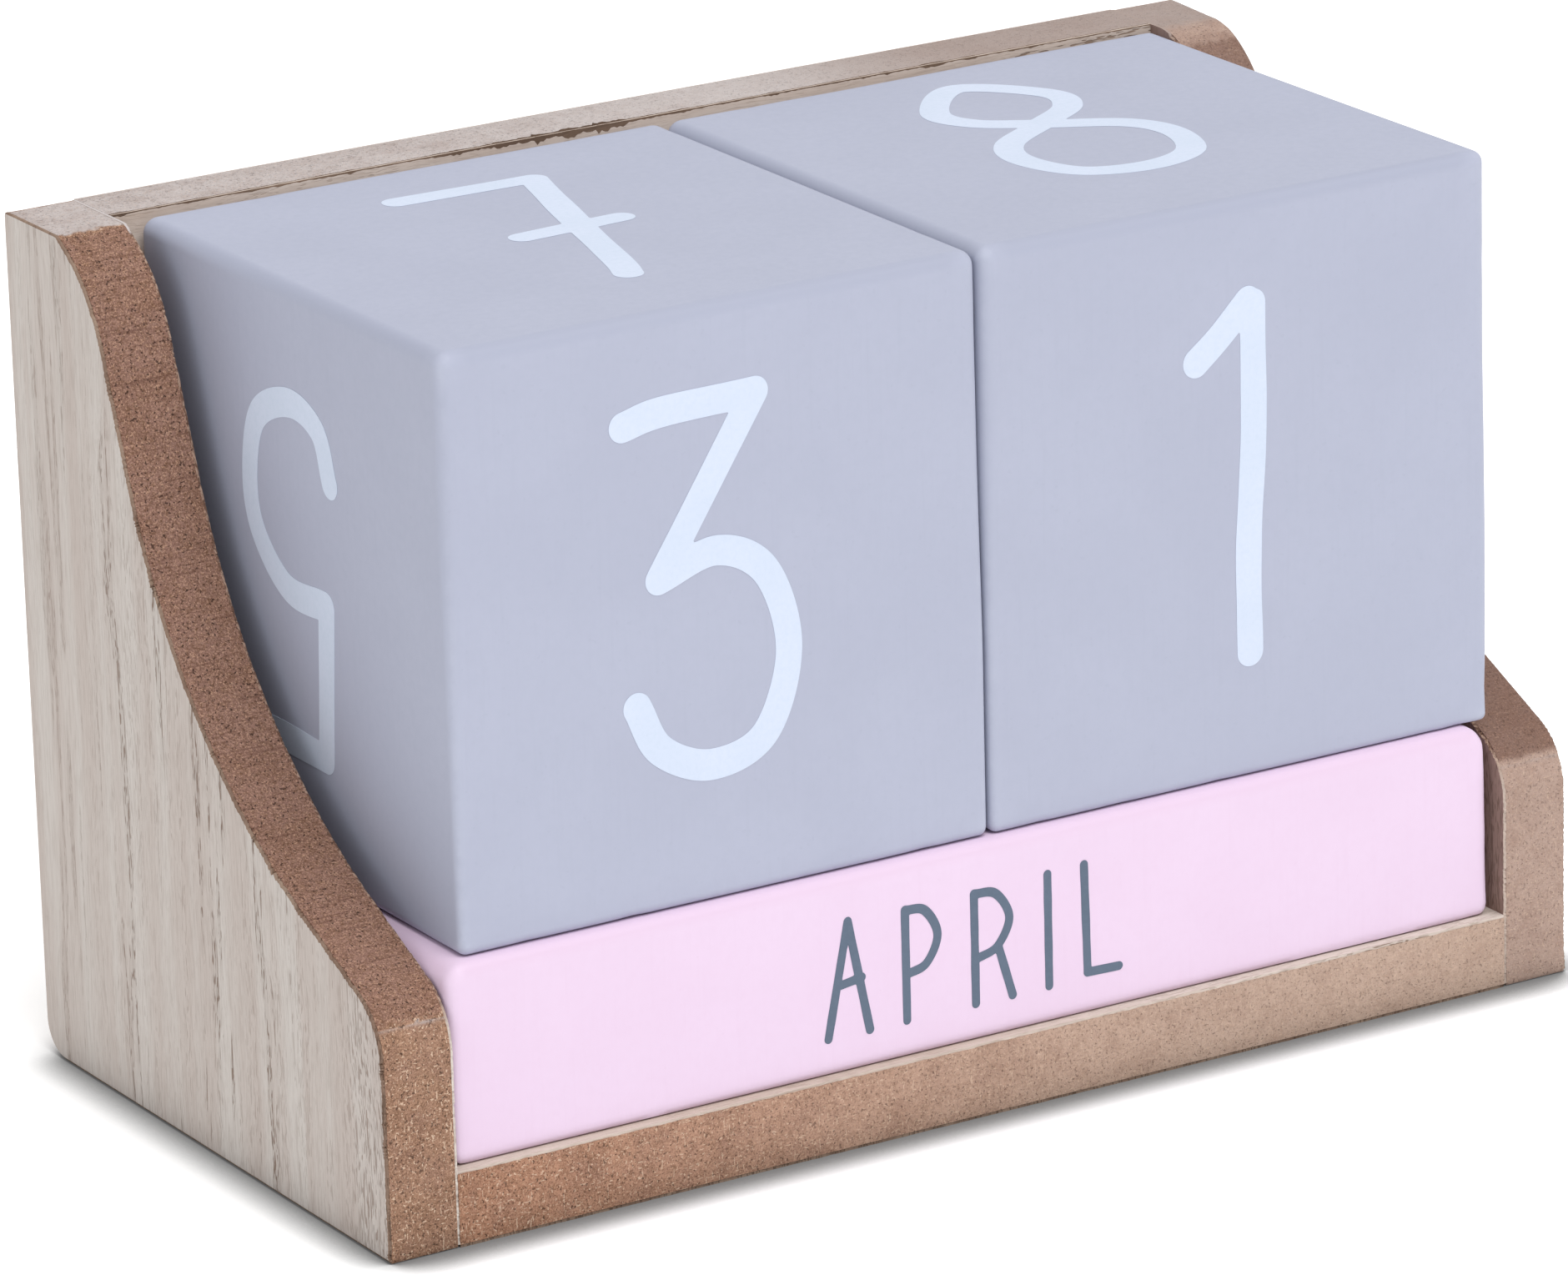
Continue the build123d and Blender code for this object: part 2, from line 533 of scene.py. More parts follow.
def rounded_outline(corners, spacing):
    """Points round a closed outline, no further apart than spacing. Corners are y, z, rounding."""
    stretches = []
    for i, (*here, radius) in enumerate(corners):
        here = np.array(here)
        to_last = unit(np.array(corners[i - 1][:2]) - here)
        to_next = unit(np.array(corners[(i + 1) % len(corners)][:2]) - here)
        half_angle = math.acos(to_last @ to_next) / 2
        centre = here + unit(to_last + to_next) * radius / math.sin(half_angle)
        start = here + to_last * radius / math.tan(half_angle) - centre
        end = here + to_next * radius / math.tan(half_angle) - centre
        turn = math.pi - 2 * half_angle
        share = np.linspace(0, 1, max(3, math.ceil(radius * turn / spacing)))[:, None]
        arc = (np.sin((1 - share) * turn) * start + np.sin(share * turn) * end) / math.sin(turn)
        stretches.append(centre + arc)
    outline = []
    for stretch, following in zip(stretches, stretches[1:] + stretches[:1]):
        gap = following[0] - stretch[-1]
        steps = max(1, math.ceil(np.linalg.norm(gap) / spacing))
        outline.append(stretch)
        outline.append(stretch[-1] + gap * np.arange(1, steps)[:, None] / steps)
    return np.concatenate(outline)


def inward(outline):
    """The unit normals of a closed outline, pointing into it."""
    ahead = np.roll(outline, -1, 0) - np.roll(outline, 1, 0)
    normals = np.stack([ahead[:, 1], -ahead[:, 0]], axis=1)
    return normals / np.linalg.norm(normals, axis=1)[:, None]


def board_tone(points):
    """Which part of a fibreboard edge each point is on: 0 routed, 1 sanded, 2 bare top."""
    y, z = points[:, 1], points[:, 2]
    on_right = points[:, 0] > 0
    ragged = 0.12 * noise_at(points, 0.7, 3)
    tone = np.where(z < sanded_height + ragged, 1.0, 0.0)
    # A pale smear where the sanding stops, and a rubbed shoulder on the right board
    smear = np.exp(-(((z - sanded_height) / 0.35) ** 2)) * (y < front + 3)
    tone = tone + 0.8 * smear * (1 + noise_at(points, 1.5, 4))
    tone = tone + 0.22 * on_right * np.clip((z - 56) / 10, 0, 1)
    softness = np.where(on_right, 5.0, 0.9)
    bare = np.clip((y - front - crest_depth + 5 * ragged) / softness + 0.5, 0, 1) * (z > top - 1.2)
    return np.where(y > back - 0.6, 1.0, tone + (2 - tone) * bare)


def outer_arris(outline, side):
    """The rounding of a side board's outer arris at each point: little, but more at the right top.

    It has to stay under the outline's own roundings, at the foot and at the back's top.
    """
    if side == "left":
        return np.full(len(outline), 0.12)
    y, z = outline.T
    worn = 0.8 * np.clip((z - 50) / 12, 0, 1) * (y > 0)
    arris = 0.13 + 0.27 * np.clip(z / 3, 0, 1) + worn
    return np.minimum(arris, 0.3 + 0.1 * (back - y))


def rounding_inset(depth, radius):
    """How far a rounded arris draws the outline in, depth away from the board's outer face."""
    reach = np.clip(radius - depth, 0, None)
    return radius - np.sqrt(radius**2 - reach**2)


def side_core(node, side):
    """The fibreboard core of a side board, its edge faintly fuzzy and chattered by the router."""
    low, high = box_mm(node)
    outline = rounded_outline(board_corners(side), 0.3)
    normals = inward(outline)
    arris = outer_arris(outline, side)
    chatter = 0.02 * (1 + noise_at(np.pad(outline, ((0, 0), (0, 1))), 1.1, 1))
    across = np.concatenate([[0.0, 0.02, 0.05], np.linspace(0.1, 0.9, 12), [0.95, 0.98, 1.0]])
    rings = []
    for x in low[0] + (high[0] - low[0]) * across:
        at = np.column_stack([np.full(len(outline), x), outline])
        depth = chatter + 0.015 * (1 + noise_at(at, 0.5, 2))
        depth += rounding_inset(outer_half_width - abs(x), arris)
        rings.append(np.column_stack([at[:, 0], outline + normals * depth[:, None]]))
    points, faces = loft(np.array(rings))
    points[:, 2] = np.clip(points[:, 2], holder_low[2], top)
    name = node + "_finished"
    piece = make_piece(
        name, points, faces, "holder", [side_fibreboard], board_smoothing
    )
    set_vertex_value(piece, "tone", board_tone(points))
    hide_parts(node)


def side_veneer_layer(node, side, outer, seed):
    """The outer or inner veneer of a side board, its cut edge in fine teeth along the sweep."""
    low, high = box_mm(node)
    corners = [(y, low[2] if z == 0 else z, r) for y, z, r in board_corners(side)]
    outline = rounded_outline(corners, 0.12)
    normals = inward(outline)
    flat = np.pad(outline, ((0, 0), (0, 1)))
    teeth = np.abs(noise_at(flat, 0.3, seed)) + 0.7 * np.abs(noise_at(flat, 0.16, seed + 1))
    missing = np.maximum(0, noise_at(flat, 2.3, seed + 2)) * 1.4
    swept = (outline[:, 0] < front + crest_depth) & (outline[:, 1] > low[2] + 0.1)
    cut = 0.01 + np.where(swept, 0.42 if outer else 0.3, 0.02) * teeth * (0.4 + missing)
    arris = outer_arris(outline, side)
    faces_left = (side == "left") == outer
    bared, glued = (low[0], high[0]) if faces_left else (high[0], low[0])
    rings = []
    for share, softening in ((0.0, 0.06), (0.3, 0.015), (1.0, 0.0)):
        x = bared + (glued - bared) * share
        depth = cut + softening * swept
        if outer:
            depth = depth + rounding_inset(outer_half_width - abs(x), arris)
        edge = outline + normals * depth[:, None]
        rings.append(np.column_stack([np.full(len(outline), x), edge]))
    points, faces = loft(np.array(rings))
    materials = [side_veneer, torn_edge] if outer else [inner_veneer, cut_veneer]
    name = node + "_finished"
    piece = make_piece(name, points, faces, "holder", materials, board_smoothing)
    for polygon in piece.data.polygons:
        polygon.material_index = 1 if len(polygon.vertices) == 4 else 0
    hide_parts(node)


def make_side_boards():
    for n, side in enumerate(("left", "right")):
        side_core(f"{side}_side_core", side)
        side_veneer_layer(f"{side}_side_outer_veneer", side, outer=True, seed=11 + 20 * n)
        side_veneer_layer(f"{side}_side_inner_veneer", side, outer=False, seed=21 + 20 * n)


# ---------------------------------------------------------------- back and base boards


def slices(low, high, spacing=0.3):
    """Places along X, from end to end of a board, to put its rings at."""
    xs = np.arange(low[0], high[0] + spacing / 2, spacing)
    xs[-1] = high[0]
    return xs


def splintering(x):
    """How deeply the back's front top edge is chipped at each x. It is worst left of the middle."""
    worst_at, worst_reach = -9, 9
    places = np.column_stack([x, np.zeros_like(x), np.zeros_like(x)])
    worst = np.exp(-(((x - worst_at) / worst_reach) ** 2))
    coarse = np.maximum(0, noise_at(places, 2.4, 51))
    fine = np.abs(noise_at(places, 0.5, 52))
    return (0.35 + 0.65 * worst) * (0.4 + coarse) * (0.5 + fine)


def back_layer(node, reach_share, drop_share, rear_rounding, slot, material):
    """One layer of the back board. Chips along its front top edge show splinters.

    They reach back by reach_share of the splintering and drop by drop_share of it.
    """
    low, high = box_mm(node)
    xs = slices(low, high)
    chip = splintering(xs)
    quarter = np.linspace(0, math.pi / 2, 4)
    rings = []
    for x, c in zip(xs, chip):
        reach, drop = 0.01 + reach_share * c, 0.01 + drop_share * c
        ring = [
            (low[1], low[2]),
            (low[1], high[2] - drop),
            (low[1] + reach, high[2] - 0.3 * reach),
            (low[1] + 1.3 * reach, high[2]),
        ]
        for angle in quarter:
            y = high[1] - rear_rounding * (1 - math.sin(angle))
            ring.append((y, high[2] - rear_rounding * (1 - math.cos(angle))))
        ring.append((high[1], low[2]))
        rings.append([(x, y, z) for y, z in ring])
    rings = np.array(rings)
    points, faces = loft(rings)
    name, materials = node + "_finished", [material, splinters]
    piece = make_piece(name, points, faces, "holder", materials, board_smoothing)
    around = rings.shape[1]
    for n, polygon in enumerate(piece.data.polygons[:-2]):  # the last two are the ends
        if reach_share and n % around in (1, 2):
            polygon.material_index = 1
    if slot == "fibreboard":
        tone = np.zeros(rings.shape[:2])
        tone[:, 3:] = 2.0
        set_vertex_value(piece, "tone", tone)
    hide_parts(node)


def make_back_board():
    # The numbers are each layer's reach share, drop share and rear rounding
    back_layer("back_core", 0.75, 0.9, 0.01, "fibreboard", side_fibreboard)
    back_layer("back_front_veneer", 0.16, 0.85, 0.005, "veneer", board_veneer)
    back_layer("back_rear_veneer", 0.0, 0.0, 0.12, "veneer", board_veneer)


def base_layer(node, roughness, slot, material, seed):
    """One layer of the base board, with an uneven front edge."""
    low, high = box_mm(node)
    levels = np.linspace(low[2], high[2], max(3, round((high[2] - low[2]) / 0.5)))
    rings = []
    for x in slices(low, high):
        at = np.column_stack([np.full(len(levels), x), np.full(len(levels), low[1]), levels])
        at[:, 1] += roughness * (1 + noise_at(at, 0.9, seed)) * 0.6
        at[:, 1] += roughness * np.abs(noise_at(at, 0.35, seed + 1)) * 0.8
        behind = at[::-1] * (1, 0, 1) + (0, high[1], 0)
        rings.append(np.concatenate([at, behind[[0, -1]]]))
    points, faces = loft(np.array(rings))
    name = node + "_finished"
    piece = make_piece(name, points, faces, "holder", [material], board_smoothing)
    if slot == "fibreboard":
        set_vertex_value(piece, "tone", np.ones(len(points)))
    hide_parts(node)


def make_base_board():
    base_layer("base_core", 0.03, "fibreboard", base_fibreboard, seed=61)
    base_layer("base_top_veneer", 0.10, "veneer", board_veneer, seed=63)
    base_layer("base_bottom_veneer", 0.08, "veneer", torn_edge, seed=65)


# ---------------------------------------------------------------- blocks

film = 0.02  # the printed film's thickness; the blocks are drawn in by as much
cube_roundings = (1.35, 1.25)  # of the outline seen from the front, and of its other edges
bar_roundings = (2.2, 1.0)
block_cell = 1.6  # the spacing of a block's grid on its flat faces
dent_count = 26


def rounded_distance(past, rounding):
    """How far points are outside a rounded corner, from how far past its two sides they are."""
    past = past + rounding[:, None]
    outside = np.linalg.norm(np.maximum(past, 0), axis=1)
    return outside + np.minimum(past.max(axis=1), 0) - rounding


def block_distance(points, half, corner, edge):
    """How far points are outside a block. corner rounds its front outline, edge all the rest."""
    past = np.abs(points) - half
    outline = rounded_distance(past[:, [0, 2]], corner)
    return rounded_distance(np.column_stack([outline, past[:, 1]]), edge)


def block_grid(half, rounding, cell):
    """Points and faces of a grid over a box, close-set within rounding of its edges."""
    close = rounding * (1 - np.tan(np.linspace(math.pi / 4, 0, 6)))
    lines = []
    for h in half:
        inner = np.linspace(rounding - h, h - rounding, max(2, round(2 * (h - rounding) / cell)))
        lines.append(np.concatenate([close[:-1] - h, inner, (h - close[:-1])[::-1]]))
    points, faces, start = [], [], 0
    for axis in range(3):
        u, v = [a for a in range(3) if a != axis]
        for side in (-1, 1):
            grid_u, grid_v = np.meshgrid(lines[u], lines[v], indexing="ij")
            face = np.zeros((*grid_u.shape, 3))
            face[..., u], face[..., v], face[..., axis] = grid_u, grid_v, side * half[axis]
            index = start + np.arange(grid_u.size).reshape(grid_u.shape)
            quads = np.stack([index[:-1, :-1], index[1:, :-1], index[1:, 1:], index[:-1, 1:]], -1)
            points.append(face.reshape(-1, 3))
            faces.append(quads.reshape(-1, 4))
            start += grid_u.size
    points, faces = np.concatenate(points), np.concatenate(faces)
    _, first, where = np.unique(np.round(points, 4), axis=0, return_index=True, return_inverse=True)
    return points[first], where.reshape(-1)[faces].tolist()


def make_block(node, roundings, material, seed, crisp):
    """A painted block, rounded by hand: its roundings and faces vary a little, with a few dents.

    crisp lists the less rounded sides: an axis, a sign and the share of the rounding left there.
    """
    low, high = box_mm(node)
    corner_rounding, edge_rounding = roundings
    centre, half = (low + high) / 2, (high - low) / 2 - film
    grid, faces = block_grid(half, corner_rounding, block_cell)
    corner = corner_rounding * (1 + 0.08 * noise_at(grid, 16.0, seed))
    edge = edge_rounding * (1 + 0.10 * noise_at(grid, 12.0, seed + 1))
    for axis, sign, share in crisp:
        kept = 1 - (1 - share) * np.clip(0.5 + sign * grid[:, axis] / 16, 0, 1)
        corner = corner * kept
        edge = edge * kept
    sunk = 0.008 * (1 + noise_at(grid, 18.0, seed + 2))
    chance = np.random.default_rng(seed)
    for _ in range(dent_count):
        signs = chance.choice((-1.0, 1.0), 3)
        place = signs * half
        place[chance.integers(3)] *= chance.uniform(-1, 1)
        size = chance.uniform(0.5, 1.4)
        reach = np.sum((grid - place) ** 2, axis=1) / size**2
        sunk += chance.uniform(0.02, 0.09) * np.exp(-reach)
    # Start from a simply rounded block, then move each point along the distance's slope
    rounding = np.minimum(corner, edge)[:, None]
    inner = np.clip(grid, rounding - half, half - rounding)
    points = inner + (grid - inner) / np.linalg.norm(grid - inner, axis=1)[:, None] * rounding
    step = 0.001
    for _ in range(6):
        gap = block_distance(points, half, corner, edge)
        slope = []
        for axis in range(3):
            moved = points.copy()
            moved[:, axis] += step
            slope.append((block_distance(moved, half, corner, edge) - gap) / step)
        slope = np.column_stack(slope)
        points = points - slope * ((gap + sunk) / np.sum(slope**2, axis=1))[:, None]
    inset = half - np.abs(points)
    _, near_edge, near_corner = np.sort(inset, axis=1).T
    near_top_edge = np.maximum(half[2] - points[:, 2], inset[:, :2].min(axis=1))
    # Worn paint along the edges, partly a painted highlight on the upright ones
    rubbed_and_highlight = 0.75 * np.clip(1 - (near_edge - 0.2) / 0.9, 0, 1) ** 1.5
    bared = np.clip(1 - near_corner / 1.8, 0, 1)
    # Painted shade along the top arrises, stored as values below zero
    darker_tone = np.clip(1.35 - (near_top_edge - 0.2) / 0.9, 0, 1)
    wear_and_shade = np.clip(rubbed_and_highlight * (1 - darker_tone) + 1.3 * bared - darker_tone * (1 - bared), -1, 1)
    name = node + "_finished"
    piece = make_piece(name, points + centre, faces, node, [material], block_smoothing)
    set_vertex_value(piece, "wear_and_shade", wear_and_shade)
    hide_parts(node)


def make_blocks():
    """The cubes and bars. Undersides are crisper, and so is the ones cube's right side."""
    for i, (node, right_side) in enumerate((("tens_cube", 1.0), ("ones_cube", 0.82))):
        crisp = [(Z, -1, 0.6), (X, 1, right_side)]
        make_block(node, cube_roundings, cube_paint, 71 + 10 * i, crisp)
    for i, place in enumerate(("front", "middle", "rear")):
        node = f"month_bar_{place}"
        crisp = [(Z, -1, 0.45)]
        make_block(node, bar_roundings, bar_paint, 91 + 10 * i, crisp)


# ---------------------------------------------------------------- numerals and month names

# Strokes of each numeral, in millimetres from the lower left corner of a cube's face.
# A stroke of two points is straight, and one of more points is a smooth curve through them.
numeral_strokes = {
    "0": [[(25, 42.5), (19.6, 39), (17.6, 27), (19.4, 15), (25, 11.2), (30.6, 15), (32.6, 27),
           (30.4, 39), (25, 42.5)]],
    "1": [[(20.7, 36.8), (23, 38.6), (25.8, 41.2)],
          [(26.3, 40.9), (26.3, 30), (25.7, 20), (25.75, 10.9)]],
    "2": [[(18.2, 36), (20.4, 40.6), (25, 42.3), (29.8, 40), (31, 34.6), (27.6, 26.4), (18, 11.6)],
          [(18, 11.6), (32.6, 12)]],
    "3": [[(16.4, 41.2), (20, 41.85), (28.6, 42)], [(28.6, 42), (19.3, 28)],
          [(19.3, 28), (24.8, 29.45), (29.3, 26.8), (31.2, 20), (28.8, 13.3), (23.7, 11.6),
           (19, 13.7), (16.9, 17.7)]],
    "4": [[(27.6, 42.2), (17.2, 21.2)], [(17.2, 21.2), (33.2, 21.6)], [(28.6, 29), (28.4, 11)]],
    "5": [[(31.5, 39), (21.1, 39.1)], [(21.1, 39.1), (20.1, 25.9)],
          [(20.1, 25.9), (26.5, 25.9), (31.2, 22.2), (32.2, 17.5), (30.4, 12.2), (25, 9.9),
           (20.4, 11.2), (18.7, 15.2)]],
    "6": [[(28.8, 42.2), (21.6, 34), (17.8, 23), (19.2, 14), (25, 10.8), (30.8, 13.6), (32, 19.6),
           (29.4, 25.2), (24.2, 26), (18.6, 21.4)]],
    "7": [[(19.3, 40.8), (32, 40.3)],
          [(32, 40.3), (29.8, 32.5), (27.7, 24.8), (25, 14.5), (23.9, 11.2)],
          [(22.4, 25.4), (31.9, 25.9)]],
    "8": [[(25, 29.4), (30, 33), (30.8, 37.6), (25.3, 43.3), (19.6, 37.6), (20.4, 33), (25, 29.4),
           (31, 25.4), (32.6, 20.6), (30.4, 15), (25.1, 13.1), (19.6, 15), (17.5, 20.6),
           (19.2, 25.4), (25, 29.4)]],
}
numeral_stroke = 2.55
numeral_cell = 0.2  # the spacing of the grid that a numeral is traced on

# Strokes of each capital, in millimetres from its lower left corner
letter_strokes = {
    "A": [[(2.1, 9.8), (0, 0)], [(2.1, 9.8), (4, 0)], [(1.2, 4.4), (3.3, 4.7)]],
    "B": [[(0, 0), (0, 9.6)], [(0, 9.6), (2, 9.3), (2.9, 7.4), (2, 5.6), (0.1, 5.1)],
          [(0.1, 5.1), (2.6, 4.6), (3.5, 2.6), (2.4, 0.6), (0, 0)]],
    "C": [[(3.7, 8.4), (2.3, 9.6), (0.7, 8.2), (0, 4.9), (0.7, 1.5), (2.3, 0.1), (3.8, 1.4)]],
    "D": [[(0, 0), (0, 9.6)], [(0, 9.6), (2.4, 8.8), (3.9, 5), (2.4, 1), (0, 0)]],
    "E": [[(0, 0), (0, 9.6)], [(0, 9.6), (3.1, 9.7)], [(0, 4.9), (2.6, 5)], [(0, 0), (3.2, 0.1)]],
    "F": [[(0, 0), (0, 9.6)], [(0, 9.6), (3.1, 9.7)], [(0, 4.9), (2.6, 5)]],
    "G": [[(3.7, 8.3), (2.3, 9.6), (0.7, 8.2), (0, 4.9), (0.7, 1.5), (2.3, 0.1), (3.9, 1.6),
           (4, 4.2)], [(4, 4.3), (2.4, 4.3)]],
    "H": [[(0, 0), (0, 9.7)], [(3.6, 0), (3.7, 9.7)], [(0, 4.8), (3.6, 5)]],
    "I": [[(0, 0), (0, 9.8)]],
    "J": [[(2.6, 9.8), (2.6, 2.4), (1.8, 0.3), (0.4, 0.4), (0, 2)]],
    "L": [[(0, 9.9), (0.2, 0.4)], [(0.2, 0.4), (3.3, 0.3)]],
    "M": [[(0, 0), (0.3, 9.7)], [(0.3, 9.7), (2.5, 3.4)], [(2.5, 3.4), (4.7, 9.8)],
          [(4.7, 9.8), (5, 0)]],
    "N": [[(0, 0), (0.1, 9.7)], [(0.1, 9.7), (3.8, 0.1)], [(3.8, 0.1), (3.9, 9.8)]],
    "O": [[(2.1, 9.7), (0.6, 8.2), (0, 4.9), (0.6, 1.5), (2.1, 0.1), (3.6, 1.5), (4.2, 4.9),
           (3.6, 8.2), (2.1, 9.7)]],
    "P": [[(0, 0), (0, 9.6)], [(0, 9.6), (1.9, 9.2), (3.1, 6.9), (2, 4.6), (0.1, 4)]],
    "R": [[(0, 0), (0, 9.6)], [(0, 9.6), (2.1, 9.2), (3.4, 6.9), (2.2, 4.6), (0.2, 3.9)],
          [(2.3, 4.5), (3.6, 0)]],
    "S": [[(3.3, 8.6), (2, 9.7), (0.5, 8.6), (0.4, 6.7), (1.8, 5.1), (3.3, 3.4), (3.1, 1.1),
           (1.6, 0.1), (0, 1.3)]],
    "T": [[(0, 9.7), (4, 9.8)], [(2, 9.7), (2.1, 0)]],
    "U": [[(0, 9.7), (0, 3), (0.7, 0.7), (2, 0.1), (3.3, 0.7), (4, 3), (4, 9.8)]],
    "V": [[(0, 9.7), (2, 0)], [(2, 0), (4, 9.8)]],
    "Y": [[(0, 9.7), (1.9, 4.6)], [(4, 9.8), (1.9, 4.6)], [(1.9, 4.6), (1.8, 0)]],
}
letter_stroke = 0.78
letter_cell = 0.12
letter_gap = 3.6
word_base = 3.2  # from the bar's lower edge to the foot of the letters
word_shift = -1.2  # from the middle of the bar to the middle of the word


def curve_through(points, spacing):
    """Points along a smooth curve through the given ones."""
    points = np.array(points, float)
    if len(points) == 2:
        points = np.array([points[0], points.mean(0), points[1]])
    closed = np.allclose(points[0], points[-1])
    before = points[-2] if closed else 2 * points[0] - points[1]
    after = points[1] if closed else 2 * points[-1] - points[-2]
    held = np.concatenate([[before], points, [after]])
    out = []
    for a, b, c, d in zip(held, held[1:], held[2:], held[3:]):
        steps = max(2, math.ceil(np.linalg.norm(c - b) / spacing))
        t = np.linspace(0, 1, steps, endpoint=False)[:, None]
        tangent_b, tangent_c = (c - a) / 2, (d - b) / 2
        out.append(
            (2 * t**3 - 3 * t**2 + 1) * b
            + (t**3 - 2 * t**2 + t) * tangent_b
            + (3 * t**2 - 2 * t**3) * c
            + (t**3 - t**2) * tangent_c
        )
    out.append(points[-1:])
    return np.concatenate(out)


def stroke_field(strokes, width, spacing, seed):
    """How far each point of a grid is inside the strokes, and where the grid starts."""
    every = np.concatenate([curve_through(stroke, spacing / 2) for stroke in strokes])
    start = every.min(0) - width
    size = np.ceil((every.max(0) + width - start) / spacing).astype(int) + 1
    field = np.full(size, -width)
    reach = math.ceil(width / spacing)
    uneven = noise_at(np.pad(every, ((0, 0), (0, 1))), 2.4 * width, seed)
    for (x, y), lump in zip(every, uneven):
        i, j = int((x - start[0]) / spacing), int((y - start[1]) / spacing)
        i0, i1, j0, j1 = max(0, i - reach), i + reach + 2, max(0, j - reach), j + reach + 2
        part = field[i0:i1, j0:j1]
        xs = start[0] + spacing * np.arange(i0, i0 + part.shape[0])[:, None]
        ys = start[1] + spacing * np.arange(j0, j0 + part.shape[1])[None]
        inside = width / 2 * (1 + 0.07 * lump) - np.hypot(xs - x, ys - y)
        np.maximum(part, inside, out=part)
    return field, start


def trace(field, start, spacing):
    """The closed loops on which the field is zero."""
    inside = field > 0
    count = inside.astype(int)
    count = count[:-1, :-1] + count[1:, :-1] + count[1:, 1:] + count[:-1, 1:]
    following = {}
    for i, j in np.argwhere((count > 0) & (count < 4)):
        ring = [(i, j), (i + 1, j), (i + 1, j + 1), (i, j + 1)] * 2
        for k in range(4):
            if inside[ring[k]] and not inside[ring[k + 1]]:
                m = k + 1
                while not inside[ring[(m + 1) % 4]]:
                    m += 1
                m %= 4
                following[frozenset(ring[k : k + 2])] = frozenset(ring[m : m + 2])
    loops = []
    while following:
        edge = next(iter(following))
        loop = []
        while edge in following:
            a, b = sorted(edge)
            share = field[a] / (field[a] - field[b])
            loop.append(start + spacing * (np.array(a) + share * (np.array(b) - np.array(a))))
            edge = following.pop(edge)
        loops.append(np.array(loop))
    return loops


def film_mesh(loops_of_parts, origin, right, up, reach):
    """Points and faces of a flat film, out to reach on either side of origin's plane."""
    out = np.cross(right, up)
    points, faces = [], []
    for loops in loops_of_parts:
        flat = [[Vector((x, y, 0)) for x, y in loop] for loop in loops]
        start = len(points)
        plane = np.concatenate(loops)
        count = len(plane)
        places = origin + plane[:, :1] * right + plane[:, 1:] * up
        points.extend(places - out * reach)
        points.extend(places + out * reach)
        for triangle in geometry.tessellate_polygon(flat):
            faces.append([start + k for k in triangle])
            faces.append([start + count + k for k in reversed(triangle)])
        first = start
        for loop in loops:
            for k in range(len(loop)):
                n = (k + 1) % len(loop)
                faces.append([first + k, first + n, first + count + n, first + count + k])
            first += len(loop)
    return np.array(points), faces


RIGHT, UP, DEEP = np.eye(3)[[0, 2, 1]]

# Each face of a block: which way its print reads, and which way is up on it
facings = {
    "front": (RIGHT, UP),
    "top": (RIGHT, DEEP),
    "back": (-RIGHT, UP),
    "bottom": (RIGHT, -DEEP),
    "left": (-DEEP, UP),
    "left_inverted": (DEEP, -UP),
    "right": (DEEP, UP),
    "back_inverted": (RIGHT, -UP),
}

cube_prints = {
    "tens_cube": {
        "front": "3", "top": "7", "left_inverted": "5", "right": "2", "back": "0", "bottom": "1",
    },
    "ones_cube": {
        "front": "1", "top": "8", "left": "0", "right": "2", "back_inverted": "4", "bottom": "6",
    },
}
bar_facings = ("front", "top", "back_inverted", "bottom")
bar_prints = {
    "month_bar_front": ("APRIL", "MARCH", "FEBRUARY", "JANUARY"),
    "month_bar_middle": ("AUGUST", "JULY", "JUNE", "MAY"),
    "month_bar_rear": ("DECEMBER", "NOVEMBER", "OCTOBER", "SEPTEMBER"),
}


def face_corner(node, right, up):
    """The lower left corner of a block's face, as its print reads."""
    low, high = box_mm(node)
    out = np.cross(right, up)
    return (low + high) / 2 + (out - right - up) * (high - low) / 2


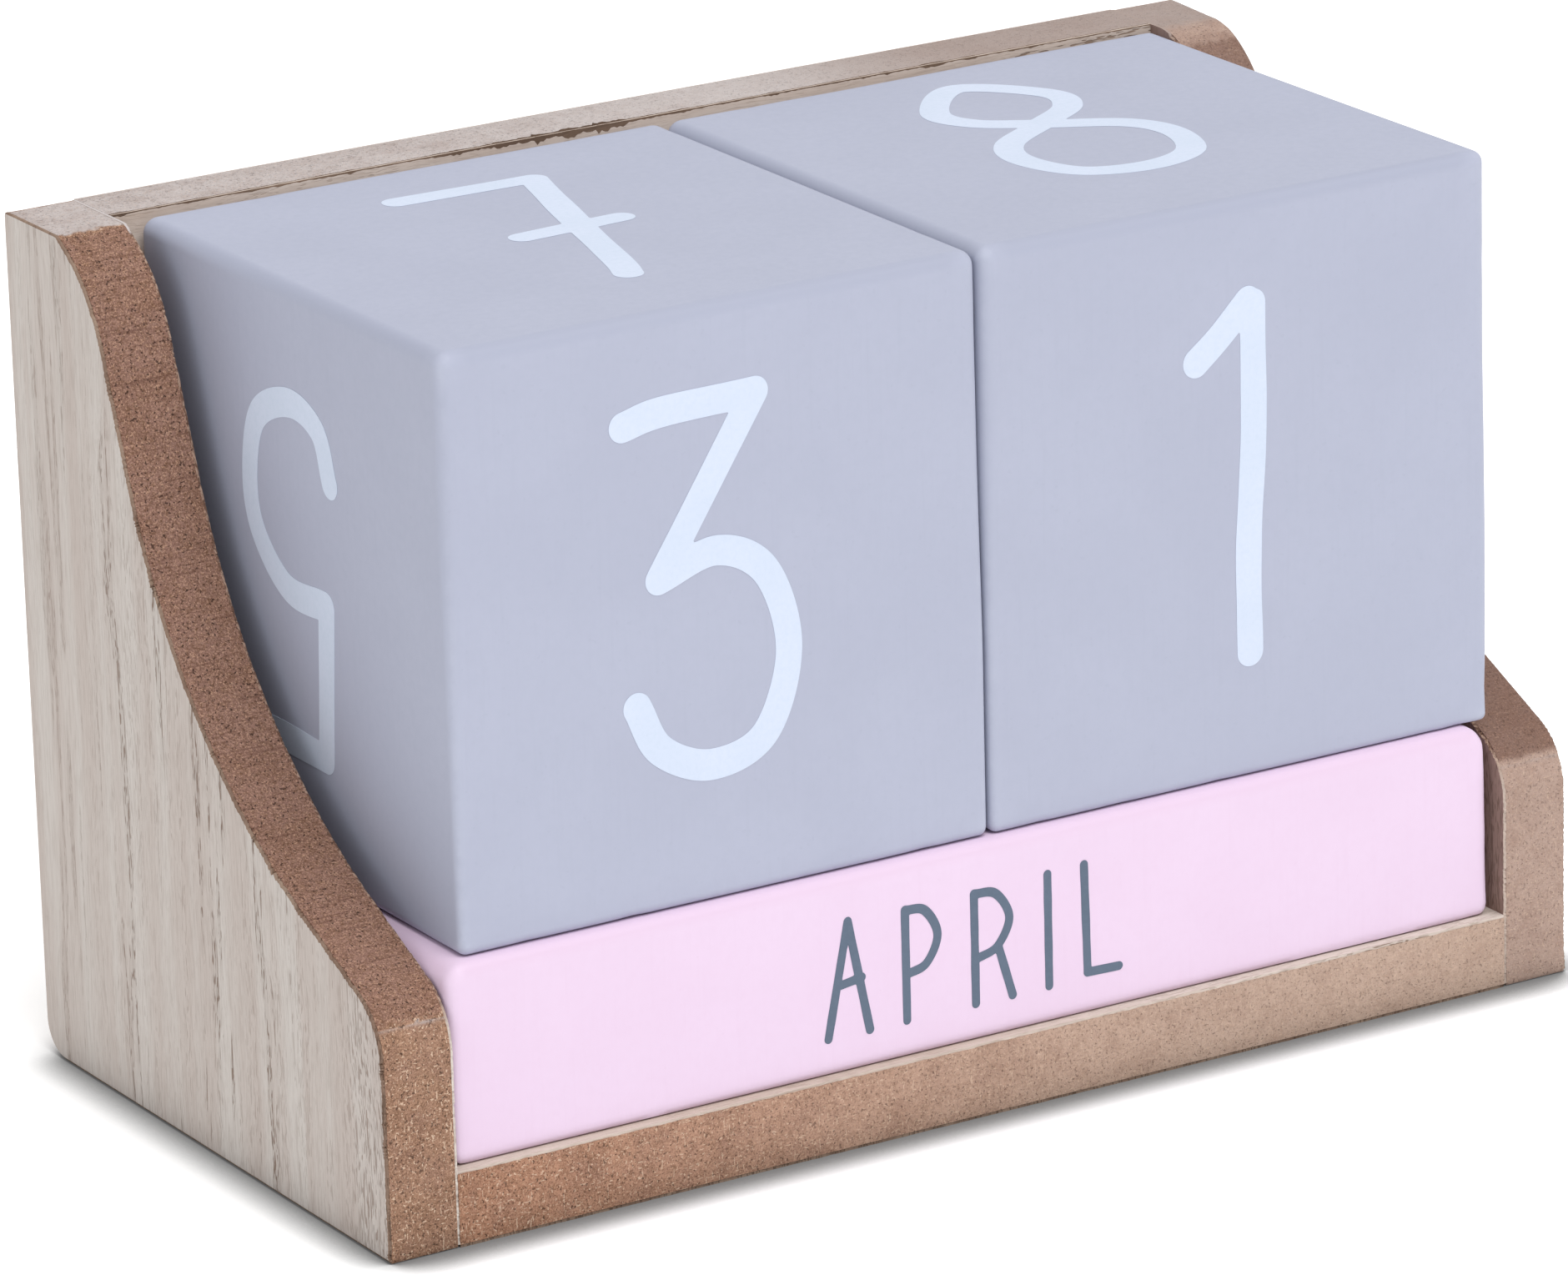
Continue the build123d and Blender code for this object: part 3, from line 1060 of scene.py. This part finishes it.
def make_print(name, node, facing, parts, shift, material):
    """Prints parts, lists of loops, on a block's face. The film ends at the CAD solid's face."""
    right, up = facings[facing]
    out = np.cross(right, up)
    origin = face_corner(node, right, up) + shift[0] * right + shift[1] * up - film / 2 * out
    points, faces = film_mesh(parts, origin, right, up, film / 2)
    make_piece(name, points, faces, node, [material])


def print_numerals():
    for node, prints in cube_prints.items():
        for facing, digit in prints.items():
            strokes, seed = numeral_strokes[digit], 5 + int(digit)
            field, start = stroke_field(strokes, numeral_stroke, numeral_cell, seed)
            loops = trace(field, start, numeral_cell)
            name = f"{node}_numeral_{digit}"
            make_print(name, node, facing, [loops], (0, 0), numeral_paint)


def print_months():
    for node, words in bar_prints.items():
        for facing, word in zip(bar_facings, words):
            parts, along = [], 0.0
            for n, letter in enumerate(word):
                strokes, seed = letter_strokes[letter], 3 * n + len(word)
                field, start = stroke_field(strokes, letter_stroke, letter_cell, seed)
                parts.append(trace(field, start + (along, 0), letter_cell))
                along += max(x for stroke in strokes for x, y in stroke) + letter_gap
            low, high = box_mm(node)
            margin = (high[0] - low[0] - along + letter_gap) / 2 + word_shift
            name, shift = f"{node}_{word.lower()}", (margin, word_base)
            make_print(name, node, facing, parts, shift, lettering_ink)


# ---------------------------------------------------------------- the whole scene


def make_floor():
    """A wide sheet of paper under the calendar, its far edge rising in a gentle sweep. Metres."""
    half_width, half_depth, level_to, rise = 4.0, 3.0, 1.2, 0.35
    sheet = bmesh.new()
    rows = []
    for y in np.linspace(-half_depth, half_depth, 25):
        z = rise * max(0.0, y - level_to) ** 2
        rows.append([sheet.verts.new((x, y, z)) for x in np.linspace(-half_width, half_width, 9)])
    for near, far in zip(rows, rows[1:]):
        for corners in zip(near, near[1:], far[1:], far):
            sheet.faces.new(corners)
    mesh = bpy.data.meshes.new("floor")
    sheet.to_mesh(mesh)
    sheet.free()
    mesh.shade_smooth()
    mesh.materials.append(floor_paper())
    floor = bpy.data.objects.new("floor", mesh)
    bpy.context.scene.collection.objects.link(floor)


add_camera()
add_world(strength=0.6)
add_area_light("key", place=(0.0, -0.93, 2.0), aim=(0.0, 0.0, 0.03), size=1.4, power=38.0)
make_floor()
make_side_boards()
make_back_board()
make_base_board()
make_blocks()
print_numerals()
print_months()
